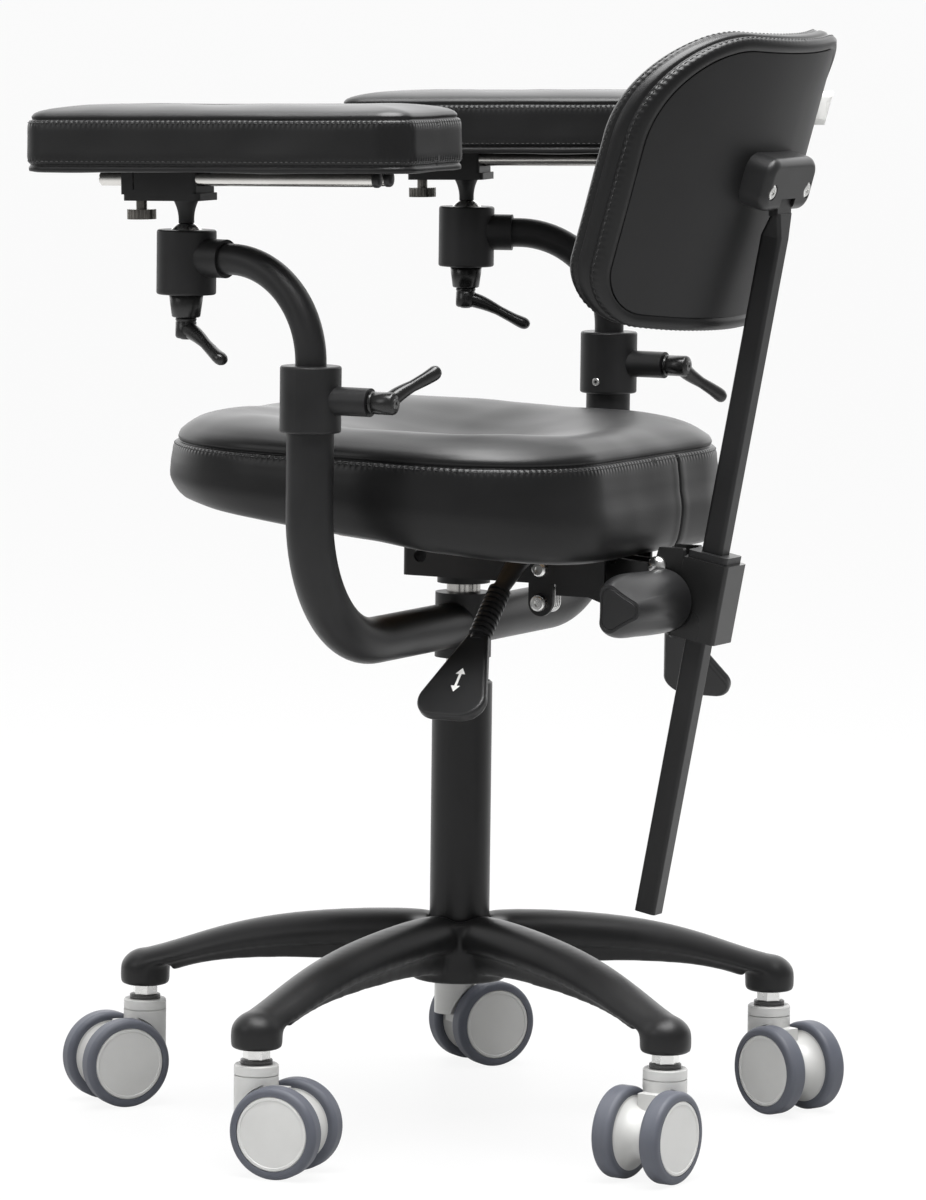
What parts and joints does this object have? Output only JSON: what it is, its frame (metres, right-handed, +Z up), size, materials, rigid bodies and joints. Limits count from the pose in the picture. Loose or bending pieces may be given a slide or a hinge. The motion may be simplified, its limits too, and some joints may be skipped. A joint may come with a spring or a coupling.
{
  "type": "laboratory chair",
  "caption": "Height-adjustable laboratory chair: dished seat, curved backrest on a leaning stem, U-bow with ball-jointed arm pads, star base on twin-wheel casters.",
  "frame": {"origin": "on the floor, under the column axis", "axes": "+X to the sitter's left, +Y to the back, +Z up"},
  "size_m": [0.642, 0.6403, 0.9167],
  "materials": {
    "black_nylon": "fine texture",
    "zinc": "bright zinc",
    "satin_black": "satin",
    "bush": "smooth",
    "bright_steel": "ground",
    "powder_black": "fine powder coat",
    "board": "plain",
    "black_vinyl": "fine grain",
    "black_plastic": "matte",
    "gloss_black": "glossy",
    "chrome": "polished",
    "nickel": "nickel",
    "grey_plastic": "smooth",
    "tyre_grey": "smooth"
  },
  "bodies": {
    "base": {"star_base": "black_nylon", "caster_stems": "zinc", "column_tube": "satin_black", "column_guide": "bush"},
    "spindle": {"piston_rod": "bright_steel"},
    "seat": {"gas_cylinder": "bright_steel", "mechanism_housing": "powder_black", "tilt_pivot_bolt": "zinc", "tilt_clutch": "zinc", "seat_board": "board", "seat_cushion": "black_vinyl", "arm_bow": "powder_black", "arm_clamps": "powder_black"},
    "lift_lever": {"lift_lever": "black_plastic"},
    "tilt_lever": {"tilt_lever": "black_plastic"},
    "back_carrier": {"back_carrier": "powder_black", "sleeve_insert": "black_plastic"},
    "height_knob": {"height_knob": "black_plastic"},
    "back_stem": {"back_stem": "satin_black"},
    "backrest": {"backrest_cushion": "black_vinyl", "backrest_panel": "black_plastic", "back_bracket": "black_plastic", "bracket_screws": "zinc"},
    "left_slide": {"left_glide": "bush"},
    "left_arm": {"left_arm_tube": "powder_black", "left_ball_housing": "powder_black"},
    "left_clamp_lever": {"left_clamp_lever": "gloss_black"},
    "left_ball_lever": {"left_ball_lever": "gloss_black"},
    "left_ball": {"left_ball": "chrome"},
    "left_carriage": {"left_carriage": "powder_black"},
    "left_thumb_screw": {"left_thumb_screw": "nickel"},
    "left_stud": {"left_ball_stud": "powder_black"},
    "left_pad": {"left_pad_rods": "nickel", "left_pad_cushion": "black_vinyl"},
    "right_slide": {"right_glide": "bush"},
    "right_arm": {"right_arm_tube": "powder_black", "right_ball_housing": "powder_black"},
    "right_clamp_lever": {"right_clamp_lever": "gloss_black"},
    "right_ball_lever": {"right_ball_lever": "gloss_black"},
    "right_ball": {"right_ball": "chrome"},
    "right_carriage": {"right_carriage": "powder_black"},
    "right_thumb_screw": {"right_thumb_screw": "nickel"},
    "right_stud": {"right_ball_stud": "powder_black"},
    "right_pad": {"right_pad_rods": "nickel", "right_pad_cushion": "black_vinyl"},
    "caster_1": {"caster_1_fork": "grey_plastic"},
    "wheels_1": {"caster_1_hubs": "grey_plastic", "caster_1_tyres": "tyre_grey"},
    "caster_2": {"caster_2_fork": "grey_plastic"},
    "wheels_2": {"caster_2_hubs": "grey_plastic", "caster_2_tyres": "tyre_grey"},
    "caster_3": {"caster_3_fork": "grey_plastic"},
    "wheels_3": {"caster_3_hubs": "grey_plastic", "caster_3_tyres": "tyre_grey"},
    "caster_4": {"caster_4_fork": "grey_plastic"},
    "wheels_4": {"caster_4_hubs": "grey_plastic", "caster_4_tyres": "tyre_grey"},
    "caster_5": {"caster_5_fork": "grey_plastic"},
    "wheels_5": {"caster_5_hubs": "grey_plastic", "caster_5_tyres": "tyre_grey"}
  },
  "joints": [
    {"name": "seat_swivel", "type": "hinge", "parent": "base", "child": "spindle", "pos_m": [0, 0, 0.2], "axis": [0, 0, 1], "continuous": true},
    {"name": "seat_lift", "type": "slide", "parent": "spindle", "child": "seat", "axis": [0, 0, 1], "range_m": [-0.018, 0.15]},
    {"name": "lift_lever_press", "type": "hinge", "parent": "seat", "child": "lift_lever", "pos_m": [0.0435, 0.081, 0.484], "axis": [0, -1, 0], "range_deg": [0, 6]},
    {"name": "tilt_lever_press", "type": "hinge", "parent": "seat", "child": "tilt_lever", "pos_m": [-0.0435, 0.135, 0.478], "axis": [0, 1, 0], "range_deg": [0, 6]},
    {"name": "back_tilt", "type": "hinge", "parent": "seat", "child": "back_carrier", "pos_m": [0, 0.094, 0.475], "axis": [1, 0, 0], "range_deg": [-12, 3]},
    {"name": "height_knob_turn", "type": "hinge", "parent": "back_carrier", "child": "height_knob", "pos_m": [0.06, 0.194, 0.453], "axis": [1, 0, 0], "continuous": true},
    {"name": "back_height", "type": "slide", "parent": "back_carrier", "child": "back_stem", "axis": [0, 0.1822, 0.9833], "range_m": [-0.005, 0.08]},
    {"name": "backrest_rock", "type": "hinge", "parent": "back_stem", "child": "backrest", "pos_m": [0, 0.2828, 0.7955], "axis": [1, 0, 0], "range_deg": [-8, 3]},
    {"name": "left_height", "type": "slide", "parent": "seat", "child": "left_slide", "axis": [0, 0, 1], "range_m": [0, 0.052]},
    {"name": "left_swing", "type": "hinge", "parent": "left_slide", "child": "left_arm", "pos_m": [0.268, 0, 0.56], "axis": [0, 0, 1], "range_deg": [-30, 35]},
    {"name": "left_clamp_turn", "type": "hinge", "parent": "seat", "child": "left_clamp_lever", "pos_m": [0.268, 0.054, 0.623], "axis": [0, 1, 0], "range_deg": [-90, 90]},
    {"name": "left_ball_lock", "type": "hinge", "parent": "left_arm", "child": "left_ball_lever", "pos_m": [0.25104, -0.12384, 0.701], "axis": [0, 0, 1], "range_deg": [-120, 120]},
    {"name": "left_pad_pitch", "type": "hinge", "parent": "left_arm", "child": "left_ball", "pos_m": [0.25104, -0.12384, 0.7445], "axis": [1, 0, 0], "range_deg": [-10, 10]},
    {"name": "left_pad_roll", "type": "hinge", "parent": "left_ball", "child": "left_stud", "pos_m": [0.25104, -0.12384, 0.7445], "axis": [0, 1, 0], "range_deg": [-10, 10]},
    {"name": "left_pad_turn", "type": "hinge", "parent": "left_stud", "child": "left_carriage", "pos_m": [0.25104, -0.12384, 0.7445], "axis": [0.0013, -0.0226, 0.9997], "range_deg": [-25, 25]},
    {"name": "left_thumb_turn", "type": "hinge", "parent": "left_carriage", "child": "left_thumb_screw", "pos_m": [0.25336, -0.16414, 0.76009], "axis": [0.0013, -0.0226, 0.9997], "continuous": true},
    {"name": "left_pad_slide", "type": "slide", "parent": "left_carriage", "child": "left_pad", "axis": [-0.0575, 0.9981, 0.0227], "range_m": [-0.12, 0.018]},
    {"name": "right_height", "type": "slide", "parent": "seat", "child": "right_slide", "axis": [0, 0, 1], "range_m": [-0.003, 0.049]},
    {"name": "right_swing", "type": "hinge", "parent": "right_slide", "child": "right_arm", "pos_m": [-0.268, 0, 0.56], "axis": [0, 0, 1], "range_deg": [-35, 30]},
    {"name": "right_clamp_turn", "type": "hinge", "parent": "seat", "child": "right_clamp_lever", "pos_m": [-0.268, 0.054, 0.623], "axis": [0, 1, 0], "range_deg": [-90, 90]},
    {"name": "right_ball_lock", "type": "hinge", "parent": "right_arm", "child": "right_ball_lever", "pos_m": [-0.22198, -0.11622, 0.704], "axis": [0, 0, 1], "range_deg": [-120, 120]},
    {"name": "right_pad_pitch", "type": "hinge", "parent": "right_arm", "child": "right_ball", "pos_m": [-0.22198, -0.11622, 0.7475], "axis": [1, 0, 0], "range_deg": [-10, 10]},
    {"name": "right_pad_roll", "type": "hinge", "parent": "right_ball", "child": "right_stud", "pos_m": [-0.22198, -0.11622, 0.7475], "axis": [0, 1, 0], "range_deg": [-10, 10]},
    {"name": "right_pad_turn", "type": "hinge", "parent": "right_stud", "child": "right_carriage", "pos_m": [-0.22198, -0.11622, 0.7475], "axis": [0.0039, -0.0223, 0.9997], "range_deg": [-25, 25]},
    {"name": "right_thumb_turn", "type": "hinge", "parent": "right_carriage", "child": "right_thumb_screw", "pos_m": [-0.21504, -0.15599, 0.76309], "axis": [0.0039, -0.0223, 0.9997], "continuous": true},
    {"name": "right_pad_slide", "type": "slide", "parent": "right_carriage", "child": "right_pad", "axis": [-0.1719, 0.9849, 0.0227], "range_m": [-0.12, 0]},
    {"name": "caster_1_swivel", "type": "hinge", "parent": "base", "child": "caster_1", "pos_m": [0.12231, 0.25076, 0.08], "axis": [0, 0, 1], "continuous": true},
    {"name": "caster_1_roll", "type": "hinge", "parent": "caster_1", "child": "wheels_1", "pos_m": [0.14868, 0.24813, 0.0375], "axis": [0.0993, 0.9951, 0], "continuous": true},
    {"name": "caster_2_swivel", "type": "hinge", "parent": "base", "child": "caster_2", "pos_m": [-0.2007, 0.19381, 0.08], "axis": [0, 0, 1], "continuous": true},
    {"name": "caster_2_roll", "type": "hinge", "parent": "caster_2", "child": "wheels_2", "pos_m": [-0.19047, 0.21826, 0.0375], "axis": [-0.9225, 0.3859, 0], "continuous": true},
    {"name": "caster_3_swivel", "type": "hinge", "parent": "base", "child": "caster_3", "pos_m": [-0.24634, -0.13098, 0.08], "axis": [0, 0, 1], "continuous": true},
    {"name": "caster_3_roll", "type": "hinge", "parent": "caster_3", "child": "wheels_3", "pos_m": [-0.26815, -0.11593, 0.0375], "axis": [-0.5678, -0.8231, 0], "continuous": true},
    {"name": "caster_4_swivel", "type": "hinge", "parent": "base", "child": "caster_4", "pos_m": [0.04845, -0.27476, 0.08], "axis": [0, 0, 1], "continuous": true},
    {"name": "caster_4_roll", "type": "hinge", "parent": "caster_4", "child": "wheels_4", "pos_m": [0.0695, -0.29086, 0.0375], "axis": [0.6074, 0.7944, 0], "continuous": true},
    {"name": "caster_5_swivel", "type": "hinge", "parent": "base", "child": "caster_5", "pos_m": [0.27629, -0.03883, 0.08], "axis": [0, 0, 1], "continuous": true},
    {"name": "caster_5_roll", "type": "hinge", "parent": "caster_5", "child": "wheels_5", "pos_m": [0.27356, -0.01247, 0.0375], "axis": [-0.9947, -0.1028, 0], "continuous": true}
  ]
}
